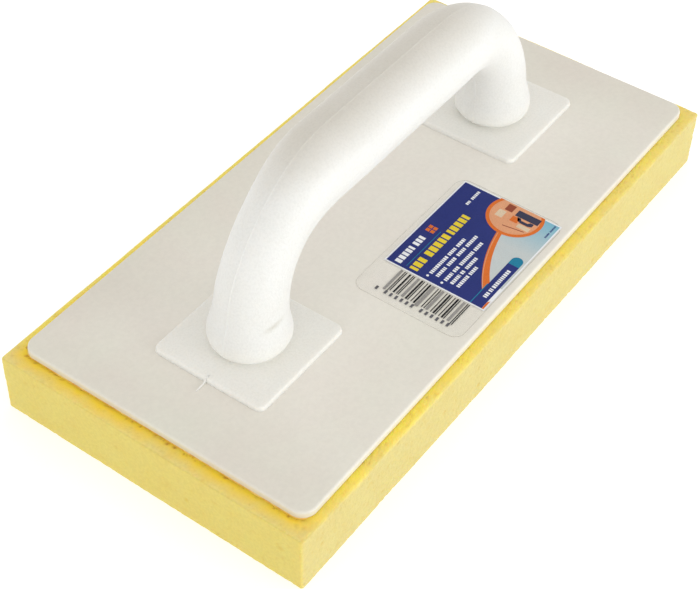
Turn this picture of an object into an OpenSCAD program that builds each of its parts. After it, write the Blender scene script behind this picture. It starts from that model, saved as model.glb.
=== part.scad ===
// Grout float: a foam block bonded to a thin plastic plate, with an arched handle screwed on top.
// Lengths are in millimetres. +X runs along the block, +Z is up, and the origin is the centre of
// the foam's working face, on which the tool stands.

/* [Foam block] */
// Length of the foam block
foam_l = 280; // [220:1:340]
// Width of the foam block
foam_w = 137.5; // [110:0.5:170]
// Thickness of the foam block
foam_t = 26.5; // [15:0.5:40]
// Radius of the block's upright corners
foam_corner_r = 1; // [0.5:0.5:10]

/* [Backing plate] */
// How far the foam stands out past each end of a centred plate
end_margin = 5.25; // [2:0.25:12]
// How far the foam stands out past each long side of a centred plate
side_margin = 4; // [2:0.25:12]
// How far along X the plate is stuck on off the foam's middle
plate_x = 1.5; // [-3:0.5:3]
// How far across Y the plate is stuck on off the foam's middle
plate_y = 0.4; // [-2:0.1:2]
// Thickness of the plate
plate_t = 3; // [2.5:0.5:6]
// Radius of the plate's corners
plate_corner_r = 6; // [3:0.5:20]
// Bevel along the plate's top edge
plate_bevel = 0.6; // [0.2:0.1:1.2]
// Thickness of the adhesive between the foam and the plate
glue_t = 0.2; // [0.1:0.1:0.5]

/* [Handle] */
// Distance between the two feet, centre to centre
feet_spacing = 165.5; // [150:0.5:180]
// Side of the square pad under each foot
pad_l = 50; // [42:1:60]
// Thickness of each pad
pad_t = 1.8; // [1.2:0.2:4]
// Radius of each pad's corners
pad_corner_r = 3; // [1:0.5:10]
// Radius of the grip at its middle
grip_r = 15.1; // [14:0.1:17]
// Radius of the handle at its necks, through both bends
neck_r = 13.3; // [11:0.1:14]
// Radius of each leg at its lower end
leg_r = 13.9; // [13.5:0.1:15]
// Radius of each rounded foot at its fullest
foot_r = 15.9; // [15.5:0.1:18]
// Height of the grip's centre line above the plate
grip_rise = 57.7; // [52:0.1:70]
// Radius of each bend, along its centre line
bend_r = 43; // [36:0.5:46]
// How far each leg leans in towards the grip, in degrees
leg_lean = 5.8; // [2:0.2:8]

/* [Screws] */
// Radius of the screw's shank
screw_r = 2; // [1.5:0.1:2.5]
// Radius of the countersunk head
head_r = 4; // [3.5:0.1:4.5]
// Length of the screw, head included
screw_l = 22; // [14:1:30]
// Clearance round the screw in the plate
screw_clearance = 0.2; // [0.1:0.05:0.4]

/* [Label] */
// Length of the clear film
film_l = 76.5; // [60:0.5:85]
// Width of the clear film
film_w = 48.6; // [40:0.2:52]
// Thickness of the clear film
film_t = 0.15; // [0.1:0.05:0.3]
// Corner radius of the clear film
film_corner_r = 5; // [1:0.5:10]
// Centre of the film along X
film_x = 2.8; // [-20:0.1:20]
// Centre of the film across Y
film_y = -36.7; // [-38:0.1:-35]
// Length of the printed panel
panel_l = 57; // [40:1:60]
// Width of the printed panel
panel_w = 45.6; // [30:0.2:46]
// Clear edge between the panel and the film's right-hand end
panel_inset = 1; // [0.5:0.1:4]
// How far the panel sits off the film's middle, across Y
panel_shift = -0.9; // [-1:0.1:1]
// Length of the printed bars beside the panel
bar_l = 12.5; // [6:0.1:13]
// Width of the whole column of bars
bars_w = 31.4; // [20:0.2:38]
// Number of printed bars in the column
bar_count = 14; // [6:1:16]

/* [Hidden] */
$fn = 96;
eps = 0.01;
plate_l = foam_l - 2 * end_margin;
plate_w = foam_w - 2 * side_margin;
plate_z = foam_t + glue_t;
top_z = plate_z + plate_t;
print_t = 0.1;
bar_gap = 0.6;
bar_shift = -1.2;
bar_thin = 0.6;
bar_step = 0.5;
bar_pitch = (bars_w - bar_thin) / (bar_count - 1);
pad_bevel = 0.6;

// The grip runs straight along X between the two bends, and each leg leans out from its bend.
foot_x = feet_spacing / 2;
bend_z = top_z + grip_rise - bend_r;
foot_sink = 0.8;
foot_z = top_z + pad_t;
foot_bulge_z = 4.5;
foot_top = 19;
foot_flare_r = 28;
foot_tuck_r = 5;
leg_l = (bend_z + bend_r * sin(leg_lean) - foot_z - foot_sink) / cos(leg_lean);
bend_x = foot_x - bend_r * cos(leg_lean) - leg_l * sin(leg_lean);
join_l = 4;
grip_l = 2 * (bend_x + join_l);
bend_overlap = 2;

// The grip's barrel is an arc that passes through both necks and the middle.
grip_swell = grip_r - neck_r;
barrel_r = (pow(bend_x, 2) + pow(grip_swell, 2)) / (2 * grip_swell);

recess_w = 0.9;
recess_l = 4.4;
recess_depth = 1.2;
head_h = head_r - screw_r;
tip_h = 3;

// The handle stands on the plate's middle.
module at_feet() {
    for (side = [-1, 1]) translate([plate_x + side * foot_x, plate_y, 0]) children();
}

// A flat outline with round corners, centred on the origin.
module rounded_rect(l, w, r) {
    square([l - 2 * r, w], center = true);
    square([l, w - 2 * r], center = true);
    for (x = [-1, 1], y = [-1, 1]) translate([x * (l / 2 - r), y * (w / 2 - r)]) circle(r);
}

module sheet(l, w, r, t) {
    linear_extrude(t) rounded_rect(l, w, r);
}

// Half the cross-section of a slab from its middle out to an edge that is bevelled on top.
function bevel_section(half, t, bevel) =
    [[0, 0], [half, 0], [half, t - bevel], [half - bevel, t], [0, t]];

// A flat slab with round corners and a bevel round its top edge.
module bevelled_slab(l, w, r, t, bevel) {
    for (x = [-1, 1], y = [-1, 1]) translate([x * (l / 2 - r), y * (w / 2 - r), 0])
        rotate_extrude() polygon(bevel_section(r, t, bevel));
    for (turn = [0, 180]) rotate(turn) {
        translate([-l / 2 + r, 0, 0]) rotate([90, 0, 90])
            linear_extrude(l - 2 * r) polygon(bevel_section(w / 2, t, bevel));
        translate([0, w / 2 - r, 0]) rotate([90, 0, 0])
            linear_extrude(w - 2 * r) polygon(bevel_section(l / 2, t, bevel));
    }
}

// One rounded foot, from a little way inside its pad. It flares gently down from the leg to its
// fullest and then tucks back in to the pad.
module foot() {
    rotate_extrude() {
        intersection() {
            translate([foot_r - foot_flare_r, foot_bulge_z]) circle(foot_flare_r);
            translate([0, foot_bulge_z]) square([foot_r, foot_top - foot_bulge_z]);
        }
        intersection() {
            translate([foot_r - foot_tuck_r, foot_bulge_z]) circle(foot_tuck_r);
            translate([0, -foot_sink]) square([foot_r, foot_bulge_z + foot_sink]);
        }
        translate([0, -foot_sink]) square([foot_r - foot_tuck_r, foot_bulge_z + foot_sink]);
    }
}

// One bend and the leg below it, drawn on the +X side. The bend, the leg and the grip run a little
// way into each other at each neck, so that they are one body.
module bend_and_leg() {
    leg_taper = (leg_r - neck_r) / leg_l;
    translate([bend_x, 0, bend_z]) rotate([90, 0, 0]) rotate(leg_lean) {
        rotate(-bend_overlap) rotate_extrude(angle = 90 - leg_lean + 2 * bend_overlap)
            translate([bend_r, 0]) circle(neck_r);
        translate([bend_r, join_l, 0]) rotate([90, 0, 0])
            cylinder(h = leg_l + join_l, r1 = neck_r - join_l * leg_taper, r2 = leg_r);
    }
}

// The straight grip, a little fuller in the middle than at its ends.
module grip() {
    translate([0, 0, top_z + grip_rise]) rotate([0, 90, 0]) rotate_extrude() intersection() {
        translate([grip_r - barrel_r, 0]) circle(barrel_r, $fn = 2000);
        translate([0, -grip_l / 2]) square([grip_r, grip_l]);
    }
}

module screw() {
    difference() {
        union() {
            cylinder(h = head_h, r1 = head_r, r2 = screw_r);
            cylinder(h = screw_l - tip_h, r = screw_r);
            translate([0, 0, screw_l - tip_h]) cylinder(h = tip_h, r1 = screw_r, r2 = screw_r / 4);
        }
        for (turn = [0, 90]) rotate(turn) translate([-recess_l / 2, -recess_w / 2, -eps])
            cube([recess_l, recess_w, recess_depth + eps]);
    }
}

module sponge_block() {
    color("khaki") sheet(foam_l, foam_w, foam_corner_r, foam_t);
}

module adhesive_film() {
    color("wheat") translate([0, 0, foam_t]) difference() {
        translate([plate_x, plate_y, 0]) sheet(plate_l, plate_w, plate_corner_r, glue_t);
        at_feet() translate([0, 0, -eps]) cylinder(h = glue_t + 2 * eps, r = head_r + screw_clearance);
    }
}

module backing_plate() {
    countersink_r = head_r + screw_clearance;
    hole_r = screw_r + screw_clearance;
    color("gainsboro") translate([0, 0, plate_z]) difference() {
        translate([plate_x, plate_y, 0])
            bevelled_slab(plate_l, plate_w, plate_corner_r, plate_t, plate_bevel);
        at_feet() {
            translate([0, 0, -eps]) cylinder(h = plate_t + 2 * eps, r = hole_r);
            cylinder(h = countersink_r - hole_r, r1 = countersink_r, r2 = hole_r);
        }
    }
}

module handle() {
    pilot_depth = screw_l - plate_t + 1;
    color("white") difference() {
        union() {
            at_feet() {
                translate([0, 0, top_z]) bevelled_slab(pad_l, pad_l, pad_corner_r, pad_t, pad_bevel);
                translate([0, 0, foot_z]) foot();
            }
            translate([plate_x, plate_y, 0]) {
                for (turn = [0, 180]) rotate(turn) bend_and_leg();
                grip();
            }
        }
        at_feet() translate([0, 0, top_z - eps]) cylinder(h = pilot_depth + eps, r = screw_r);
    }
}

module handle_screws() {
    color("silver") at_feet() translate([0, 0, plate_z]) screw();
}

module label_film() {
    color("aliceblue") translate([film_x, film_y, top_z]) sheet(film_l, film_w, film_corner_r, film_t);
}

// The printed panel fills the film's right end, and a column of bars stands beside it on the left.
// The bars come in three widths, turn and turn about.
module label_print() {
    panel_x = film_x + film_l / 2 - panel_inset - panel_l / 2;
    bars_x = panel_x - panel_l / 2 - bar_gap - bar_l;
    color("midnightblue") translate([0, film_y + panel_shift, top_z + film_t]) {
        translate([panel_x, 0, 0]) sheet(panel_l, panel_w, 0.5, print_t);
        translate([bars_x, bar_shift - bars_w / 2, 0]) for (i = [0 : bar_count - 1]) {
            bar_w = bar_thin + bar_step * (i % 3);
            translate([0, i * bar_pitch + (bar_thin - bar_w) / 2, 0]) cube([bar_l, bar_w, print_t]);
        }
    }
}

sponge_block();
adhesive_film();
backing_plate();
handle();
handle_screws();
label_film();
label_print();
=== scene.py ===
import math

import bpy
import numpy as np
from mathutils import Matrix, Vector, geometry, kdtree, noise


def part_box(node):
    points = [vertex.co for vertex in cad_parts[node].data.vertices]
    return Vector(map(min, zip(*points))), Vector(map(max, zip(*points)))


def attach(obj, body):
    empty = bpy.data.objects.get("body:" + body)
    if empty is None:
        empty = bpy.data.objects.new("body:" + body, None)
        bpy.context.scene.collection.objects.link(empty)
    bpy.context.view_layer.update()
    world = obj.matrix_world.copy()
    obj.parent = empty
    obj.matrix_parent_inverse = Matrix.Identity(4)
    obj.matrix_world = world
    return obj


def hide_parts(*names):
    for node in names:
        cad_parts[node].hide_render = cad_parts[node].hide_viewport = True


# A grout float: foam block, bonded plastic plate, arched handle, screws and label.
# Lengths named below are in millimetres until MM turns them into metres.
MM = 0.001
SEED = 11

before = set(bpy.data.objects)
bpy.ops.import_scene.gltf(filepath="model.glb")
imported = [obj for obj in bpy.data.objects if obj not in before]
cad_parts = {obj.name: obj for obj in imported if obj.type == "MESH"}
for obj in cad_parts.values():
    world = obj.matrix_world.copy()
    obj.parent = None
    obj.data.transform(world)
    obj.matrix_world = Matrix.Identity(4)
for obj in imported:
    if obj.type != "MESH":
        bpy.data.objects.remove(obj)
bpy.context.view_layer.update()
rng = np.random.default_rng(SEED)


# ---- places taken from the frame

def box_mm(node):
    """A CAD node's lowest and highest corners, in millimetres."""
    return tuple(np.array(corner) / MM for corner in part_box(node))


FOAM_HI = box_mm("sponge_block")[1]
PLATE_LO, PLATE_HI = box_mm("backing_plate")
HANDLE_LO, HANDLE_HI = box_mm("handle")
FILM_LO, FILM_HI = box_mm("label_film")
PRINT_LO, PRINT_HI = box_mm("label_print")

FOAM_HALF = FOAM_HI[:2]
FOAM_TOP = FOAM_HI[2]
FOAM_CORNER_R = 1.0
PLATE_MID = ((PLATE_LO + PLATE_HI) / 2)[:2]
PLATE_HALF = ((PLATE_HI - PLATE_LO) / 2)[:2]
PLATE_BOTTOM = PLATE_LO[2]
PLATE_TOP = PLATE_HI[2]
PLATE_CORNER_R = 6.0
PLATE_TURN = math.radians(0.27)
PAD_HALF = (HANDLE_HI[1] - HANDLE_LO[1]) / 2
FOOT_X = (HANDLE_HI[0] - HANDLE_LO[0]) / 2 - PAD_HALF
FOOT_CENTRES = ((-FOOT_X, 0.0), (FOOT_X, 0.0))
GRIP_R = 15.1
GRIP_Z = HANDLE_HI[2] - GRIP_R
SCREW_R = 2.0
COUNTERSINK_R = 4.2


# ---- mesh helpers

def rotate_flat(xy, angle):
    """Flat points turned about the origin."""
    c, s = math.cos(angle), math.sin(angle)
    return np.column_stack((xy[:, 0] * c - xy[:, 1] * s, xy[:, 0] * s + xy[:, 1] * c))


def stuck_on(points):
    """Points measured from the plate's middle, moved to where it is stuck on: a little off the foam's
    middle and very slightly out of square with it."""
    points = np.asarray(points, float)
    return np.column_stack((rotate_flat(points[:, :2], PLATE_TURN) + PLATE_MID, points[:, 2]))


def mesh_piece(name, points_mm, faces, materials, node, smooth=True):
    """A mesh from points in millimetres. It rides on the root body and stands for one CAD node."""
    mesh = bpy.data.meshes.new(name)
    mesh.from_pydata((np.asarray(points_mm) * MM).tolist(), [], [list(map(int, f)) for f in faces])
    mesh.validate()
    for each in materials:
        mesh.materials.append(each)
    mesh.polygons.foreach_set("use_smooth", [smooth] * len(mesh.polygons))
    mesh.update()
    piece = bpy.data.objects.new(name, mesh)
    bpy.context.scene.collection.objects.link(piece)
    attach(piece, "root")
    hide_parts(node)
    return piece


def set_attribute(piece, name, values):
    """One number for each point of the mesh, for its material to read."""
    made = piece.data.attributes.new(name, "FLOAT", "POINT")
    made.data.foreach_set("value", np.asarray(values, np.float32))


def outline(half_x, half_y, radius, counts):
    """Points anticlockwise round a rectangle with round corners, from the lower end of its +X side.
    counts are the steps along an X side, along a Y side and round a corner, the same whatever the size."""
    along_x, along_y, round_corner = counts
    cx, cy = half_x - radius, half_y - radius
    sides = (((half_x, -cy), (half_x, cy), along_y), ((cx, half_y), (-cx, half_y), along_x),
             ((-half_x, cy), (-half_x, -cy), along_y), ((-cx, -half_y), (cx, -half_y), along_x))
    centres = ((cx, cy), (-cx, cy), (-cx, -cy), (cx, -cy))
    parts = []
    for quarter, (start, end, count) in enumerate(sides):
        share = (np.arange(count) / count)[:, None]
        parts.append(np.array(start) * (1 - share) + np.array(end) * share)
        angle = math.pi / 2 * (quarter + np.arange(round_corner) / round_corner)
        turn = np.column_stack((np.cos(angle), np.sin(angle)))
        parts.append(np.array(centres[quarter]) + radius * turn)
    return np.vstack(parts)


def strip_faces(rows, columns, first=0):
    """Quads between rows of points, each row a closed ring of the same number of points."""
    row = np.arange(rows - 1)[:, None] * columns
    here = np.arange(columns)[None, :]
    after = (here + 1) % columns
    corners = (row + here, row + after, row + columns + after, row + columns + here)
    return np.stack(corners, axis=-1).reshape(-1, 4) + first


def ring_at(outline_xy, z):
    """A flat outline lifted to one height."""
    return np.column_stack((outline_xy, np.full(len(outline_xy), z)))


def lofted(half, radius, counts, section):
    """Rings of a rectangle with round corners, one for each (inset, height) of a section."""
    return [ring_at(outline(*(half - inset), radius - inset, counts), z) for inset, z in section]


def edge_arc(radius, level, degrees, side=1):
    """The (inset, height) at some angles round an edge. Side is 1 for an upper edge, -1 for a lower one."""
    turn = np.radians(degrees)
    return list(zip(radius * (1 - np.cos(turn)), level - side * radius * (1 - np.sin(turn))))


def polar(radius, angles):
    """Flat points at some angles, at one radius or at one for each angle."""
    return np.column_stack((radius * np.cos(angles), radius * np.sin(angles)))


def circle(centre, radius, count):
    """Points anticlockwise round a circle."""
    return np.array(centre) + polar(radius, np.arange(count) * 2 * math.pi / count)


def strip_normals(rows):
    """Normals of a strip of closed rings, pointing out where each ring runs anticlockwise going up."""
    around = np.roll(rows, -1, axis=1) - np.roll(rows, 1, axis=1)
    along = np.gradient(rows, axis=0)
    normal = np.cross(around, along)
    return normal / np.maximum(np.linalg.norm(normal, axis=2, keepdims=True), 1e-9)


def fill(loops, inner_points, holes=()):
    """Triangles that fill a flat outline and its holes' outlines through some scattered points.
    Returns the points, the loops' points first, and the faces."""
    points = np.vstack([*loops, inner_points])
    edges = []
    start = 0
    for loop in loops:
        count = len(loop)
        edges += [(start + i, start + (i + 1) % count) for i in range(count)]
        start += count
    made = geometry.delaunay_2d_cdt([Vector(p) for p in points.tolist()], edges, [], 1, 1e-7)
    faces = [f for f in made[2] if inside(np.mean([points[i] for i in f], axis=0), loops[0], holes)]
    return points, faces


def inside(point, loop, holes):
    """Whether a point lies in an outline's box and in none of the round holes."""
    for centre, radius in holes:
        if np.hypot(*(point - np.array(centre))) < radius * 0.98:
            return False
    lo, hi = loop.min(axis=0), loop.max(axis=0)
    return bool(np.all(point > lo) and np.all(point < hi))


def scattered(half_x, half_y, step, wobble):
    """A jittered grid of points inside a rectangle."""
    xs = np.arange(-half_x, half_x + step / 2, step)
    ys = np.arange(-half_y, half_y + step / 2, step * 0.87)
    grid = np.array([(x + (step / 2 if row % 2 else 0), y) for row, y in enumerate(ys) for x in xs])
    grid = grid + rng.uniform(-wobble, wobble, grid.shape) * step
    keep = (np.abs(grid[:, 0]) < half_x) & (np.abs(grid[:, 1]) < half_y)
    return grid[keep]


def inside_corners(points, half, corner_r, gap):
    """The flat points that keep a gap from a rectangle's round corners."""
    corner = np.abs(points) - (half - corner_r)
    return points[~((corner.min(axis=1) > 0) & (np.hypot(*corner.T) > corner_r - gap))]


def perlin(points, size, seed=0.0):
    """Smooth noise from -1 to 1 at each point, for lumps of about that size in millimetres."""
    return np.array([noise.noise(Vector(p) / size + Vector((seed, 0, 0))) for p in points.tolist()])


def hermite(stations, values, at):
    """A smooth curve through a few values that never overshoots them."""
    x, y, at = (np.asarray(a, float) for a in (stations, values, at))
    gap = np.diff(x)
    slope = np.diff(y) / gap
    tangent = np.zeros_like(y)
    same_way = slope[:-1] * slope[1:] > 0
    steep = np.where(same_way, slope[:-1] * slope[1:], 1.0)
    steep = steep / np.where(same_way, slope[:-1] + slope[1:], 1.0)
    tangent[1:-1] = np.where(same_way, 2 * steep, 0.0)
    i = np.clip(np.searchsorted(x, at, side="right") - 1, 0, len(gap) - 1)
    t = (at - x[i]) / gap[i]
    rise = y[i] * (1 + 2 * t) * (1 - t) ** 2 + y[i + 1] * t ** 2 * (3 - 2 * t)
    bend = gap[i] * t * (1 - t) * (tangent[i] * (1 - t) - tangent[i + 1] * t)
    return rise + bend


# ---- material helpers

def linear(red, green, blue):
    """An sRGB colour, 0 to 255, as the shader's own linear colour."""
    made = []
    for value in (red, green, blue):
        share = value / 255
        made.append(share / 12.92 if share <= 0.04045 else ((share + 0.055) / 1.055) ** 2.4)
    return (*made, 1.0)


class Tree:
    """A material's nodes, with short calls for the ones they share. Patterns are in millimetres."""

    def __init__(self, name, **constants):
        self.material = bpy.data.materials.new(name)
        self.material.use_nodes = True
        self.nodes = self.material.node_tree.nodes
        self.links = self.material.node_tree.links
        self.shader = self.nodes["Principled BSDF"]
        for socket, value in constants.items():
            self.shader.inputs[socket.replace("_", " ")].default_value = value
        self.where = self.scaled((1, 1, 1))

    def scaled(self, scale, turn=0.0):
        """Object coordinates in millimetres, stretched by scale and turned about Z."""
        source = self.nodes.new("ShaderNodeTexCoord")
        mapping = self.nodes.new("ShaderNodeMapping")
        mapping.inputs["Scale"].default_value = [s / MM for s in scale]
        mapping.inputs["Rotation"].default_value = (0, 0, turn)
        self.links.new(source.outputs["Object"], mapping.inputs["Vector"])
        return mapping.outputs["Vector"]

    def noise(self, size, detail=2.0, where=None):
        """Smooth noise from 0 to 1 with lumps of about that size."""
        node = self.nodes.new("ShaderNodeTexNoise")
        node.inputs["Scale"].default_value = 1 / size
        node.inputs["Detail"].default_value = detail
        self.links.new(where or self.where, node.inputs["Vector"])
        return node.outputs["Fac"]

    def cells(self, size):
        """Distance to the middle of the nearest cell, for cells of about that size."""
        node = self.nodes.new("ShaderNodeTexVoronoi")
        node.inputs["Scale"].default_value = 1 / size
        self.links.new(self.where, node.inputs["Vector"])
        return node.outputs["Distance"]

    def attribute(self, name):
        """A number kept on the mesh."""
        node = self.nodes.new("ShaderNodeAttribute")
        node.attribute_name = name
        return node.outputs["Fac"]

    def ramp(self, value, *stops):
        """A colour for each value: stops are (value, colour), and a plain number is a grey."""
        node = self.nodes.new("ShaderNodeValToRGB")
        ramp = node.color_ramp
        while len(ramp.elements) < len(stops):
            ramp.elements.new(0.5)
        for element, (place, colour) in zip(ramp.elements, stops):
            element.position = place
            element.color = colour if hasattr(colour, "__len__") else (colour, colour, colour, 1)
        self.links.new(value, node.inputs["Fac"])
        return node.outputs["Color"]

    def mottle(self, size, detail, first, second):
        """Noise that drifts between two sRGB colours."""
        return self.ramp(self.noise(size, detail), (0.3, linear(*first)), (0.7, linear(*second)))

    def mix(self, share, first, second, blend="MIX"):
        """Two colours mixed by a share, each a colour or another node's output."""
        node = self.nodes.new("ShaderNodeMix")
        node.data_type = "RGBA"
        node.blend_type = blend
        for socket, value in ((node.inputs[0], share), (node.inputs[6], first), (node.inputs[7], second)):
            self.put(value, socket)
        return node.outputs[2]

    def times(self, first, second):
        """One colour darkened by another."""
        return self.mix(1.0, first, second, "MULTIPLY")

    def sum(self, first, second, how="ADD"):
        """Two numbers added, multiplied or otherwise combined."""
        node = self.nodes.new("ShaderNodeMath")
        node.operation = how
        for socket, value in zip(node.inputs, (first, second)):
            self.put(value, socket)
        return node.outputs[0]

    def put(self, value, socket):
        """Links an output to a socket, or sets the socket's own value."""
        if isinstance(value, bpy.types.NodeSocket):
            self.links.new(value, socket)
        else:
            socket.default_value = value

    def colour(self, value):
        self.put(value, self.shader.inputs["Base Color"])

    def scatter(self, weight, radius_mm):
        """Light that scatters inside, as far as each of red, green and blue goes."""
        self.shader.inputs["Subsurface Weight"].default_value = weight
        self.shader.inputs["Subsurface Scale"].default_value = 1.0
        self.shader.inputs["Subsurface Radius"].default_value = [r * MM for r in radius_mm]

    def roughness(self, value, low, high):
        """Roughness that follows a pattern between two values."""
        node = self.nodes.new("ShaderNodeMapRange")
        node.inputs["To Min"].default_value = low
        node.inputs["To Max"].default_value = high
        self.links.new(value, node.inputs["Value"])
        self.links.new(node.outputs["Result"], self.shader.inputs["Roughness"])

    def bump(self, *layers):
        """Fine relief: each layer is (pattern, its depth in millimetres)."""
        last = None
        for value, depth in layers:
            node = self.nodes.new("ShaderNodeBump")
            node.inputs["Strength"].default_value = 1.0
            node.inputs["Distance"].default_value = depth * MM
            self.links.new(value, node.inputs["Height"])
            if last is not None:
                self.links.new(last, node.inputs["Normal"])
            last = node.outputs["Normal"]
        self.links.new(last, self.shader.inputs["Normal"])


# ---- materials

def foam_material():
    """Open-cell foam: pale yellow, with painted light on its top faces and a deeper painted shade on its
    end faces, deeper where adhesive has soaked in along with painted light and shade at the plate's edge,
    and painted shade in the pores.
    """
    tree = Tree("foam_yellow", Roughness=0.92)
    tree.scatter(0.65, (4.5, 3.2, 1.3))
    # Painted light and shade: the colour follows which way a face points, lighter on top and a deeper
    # yellow on the ends.
    side = tree.mottle(14, 3, (208, 195, 127), (207, 191, 122))
    end = tree.mottle(14, 3, (216, 201, 112), (216, 197, 107))
    top = tree.mottle(14, 3, (231, 215, 136), (229, 211, 130))
    pale = tree.mix(tree.attribute("top"), tree.mix(tree.attribute("end"), side, end), top)
    speck = tree.ramp(tree.noise(1.1, 4), (0.42, 0.95), (0.6, 1.0))
    mottled = tree.times(pale, speck)
    # Adhesive soak with painted light and shade along the plate's edge: a deeper orange-yellow, deepest
    # towards the near end.
    soak_and_shade = tree.mix(tree.attribute("deep"), linear(250, 227, 93), linear(250, 214, 52))
    with_glue_and_shade = tree.mix(tree.attribute("glue_and_shade"), mottled, soak_and_shade)
    # Painted shade: the pores' hollows darkened.
    pore_shaded = tree.mix(tree.attribute("pore_shade"), with_glue_and_shade, linear(206, 172, 74))
    # Dark brown along the plate's edge at the near end: partly real browning, partly painted shade.
    tree.colour(tree.mix(tree.attribute("speck"), pore_shaded, linear(196, 132, 44)))
    tree.bump((tree.noise(2.2, 4), 0.22), (tree.cells(0.75), 0.12))
    return tree.material


def plate_material():
    """Off-white sheet plastic: faintly mottled, with fine scratches, worn satin patches, and painted shade
    towards its ends and sides that leaves the middle lighter.
    """
    tree = Tree("plate_white")
    tree.scatter(0.08, (2.0, 1.8, 1.5))
    # Painted shade: the plate darker towards its ends and sides, lighter in the middle under the grip.
    unshaded = tree.mottle(24, 4, (236, 232, 225), (237, 235, 227))
    end_and_side_shade = tree.mottle(24, 4, (225, 220, 211), (225, 224, 213))
    cloud = tree.mix(tree.attribute("end_and_side_shade"), unshaded, end_and_side_shade)
    grain = tree.ramp(tree.noise(1.6, 3), (0.35, 0.965), (0.65, 1.0))
    tree.colour(tree.times(cloud, grain))
    tree.roughness(tree.noise(18, 4), 0.38, 0.55)
    along = tree.scaled((0.03, 1.6, 1), math.radians(22))
    scratch = tree.ramp(tree.noise(1.0, 2, along), (0.66, 0.0), (0.7, 1.0))
    tree.bump((tree.noise(9, 2), 0.03), (tree.noise(0.9, 3), 0.02), (scratch, -0.01))
    return tree.material


def handle_material():
    """White moulded plastic with the fine grain of a spark-eroded mould, with painted shade on the grip's
    top, painted light on the pads and painted shade in the nick.
    """
    tree = Tree("handle_white")
    tree.scatter(0.5, (1.3, 1.2, 1.1))
    unshaded = tree.mottle(20, 3, (229, 230, 228), (232, 233, 232))
    # Painted shade: the grip's top and +Y side darker.
    grip_top_shade = tree.mottle(20, 3, (214, 211, 203), (218, 215, 208))
    # Painted light: the pads and the foot's lowest part a lighter white than the rest.
    flat = tree.mottle(20, 3, (237, 236, 231), (239, 239, 235))
    top_shaded = tree.mix(tree.attribute("grip_top_shade"), unshaded, grip_top_shade)
    # Painted shade in the nick's hollow.
    nick_shaded = tree.mix(tree.attribute("nick_shade"), top_shaded, linear(212, 211, 204))
    body = tree.mix(tree.attribute("pad"), nick_shaded, flat)
    grain = tree.ramp(tree.noise(0.9, 4), (0.36, 0.96), (0.56, 1.0))
    tree.colour(tree.times(body, grain))
    tree.roughness(tree.noise(10, 3), 0.42, 0.58)
    tree.bump((tree.noise(1.1, 3), 0.09), (tree.cells(0.6), 0.04))
    return tree.material


def adhesive_material():
    """Amber contact adhesive, its colour and gloss varying in patches. Where it creeps out at the near end
    its amber also paints the shade line under the plate's edge.
    """
    tree = Tree("adhesive_amber")
    tree.scatter(0.2, (2.0, 1.0, 0.3))
    tree.colour(tree.ramp(tree.noise(3.5, 3), (0.3, linear(228, 158, 54)), (0.5, linear(246, 192, 82)),
                          (0.75, linear(252, 214, 120))))
    tree.roughness(tree.noise(2.5, 2), 0.3, 0.6)
    tree.bump((tree.noise(1.4, 3), 0.15))
    return tree.material


def film_material():
    """Clear self-adhesive film, with a faint haze and orange peel."""
    tree = Tree("clear_film", IOR=1.45, Alpha=0.05, Coat_Weight=0.1)
    tree.colour(tree.mottle(7, 3, (240, 240, 238), (248, 248, 246)))
    tree.roughness(tree.noise(5, 3), 0.12, 0.24)
    tree.bump((tree.noise(6, 2), 0.05))
    return tree.material


def film_rim_material():
    """The film's cut edge, greyer and cloudier than the film: painted shade for the thin dark line along
    its edge.
    """
    tree = Tree("film_rim", IOR=1.45, Alpha=0.32)
    tree.colour(tree.mottle(5, 3, (176, 170, 160), (206, 200, 190)))
    tree.roughness(tree.noise(5, 3), 0.3, 0.5)
    tree.bump((tree.noise(2, 2), 0.02))
    return tree.material


def ink_material(name, colour, darker):
    """One printed ink: a fine screen pattern and uneven coverage."""
    tree = Tree("ink_" + name, Specular_IOR_Level=0.15)
    cover = tree.ramp(tree.noise(0.5, 3), (0.35, darker), (0.6, 1.0))
    shade = tree.ramp(tree.noise(9, 2), (0.3, 0.94), (0.7, 1.0))
    tree.colour(tree.times(tree.times(linear(*colour), cover), shade))
    tree.roughness(tree.noise(3, 2), 0.28, 0.45)
    tree.bump((tree.noise(0.6, 2), 0.01))
    return tree.material


def fading_ink_material(name, near, far, start, end):
    """An ink that fades along X from one colour to another between two places."""
    tree = Tree("ink_" + name, Specular_IOR_Level=0.15)
    split = tree.nodes.new("ShaderNodeSeparateXYZ")
    tree.links.new(tree.where, split.inputs[0])
    fade = tree.nodes.new("ShaderNodeMapRange")
    fade.inputs["From Min"].default_value = start
    fade.inputs["From Max"].default_value = end
    tree.links.new(split.outputs["X"], fade.inputs["Value"])
    cloudy = tree.sum(fade.outputs["Result"], tree.sum(tree.noise(6, 2), 0.16, "MULTIPLY"))
    cover = tree.ramp(tree.noise(0.5, 3), (0.35, 0.94), (0.6, 1.0))
    tree.colour(tree.times(tree.mix(cloudy, linear(*near), linear(*far)), cover))
    tree.roughness(tree.noise(3, 2), 0.3, 0.45)
    return tree.material


def steel_material():
    """Zinc-plated steel with turning marks."""
    tree = Tree("zinc_steel", Metallic=1.0)
    tree.colour(tree.ramp(tree.noise(2.5, 3), (0.3, linear(176, 178, 182)), (0.7, linear(206, 206, 204))))
    tree.roughness(tree.noise(0.8, 3, tree.scaled((1, 1, 6))), 0.22, 0.42)
    tree.bump((tree.noise(0.4, 2, tree.scaled((1, 1, 5))), 0.02))
    return tree.material


def floor_material():
    """A plain pale sweep with a barely visible paper tooth."""
    tree = Tree("floor_white", Roughness=0.9)
    tree.colour(tree.mottle(60, 3, (206, 206, 206), (210, 210, 210)))
    tree.shader.inputs["Emission Color"].default_value = (1, 1, 1, 1)
    tree.shader.inputs["Emission Strength"].default_value = FLOOR_GLOW
    return tree.material


# ---- foam block

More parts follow.
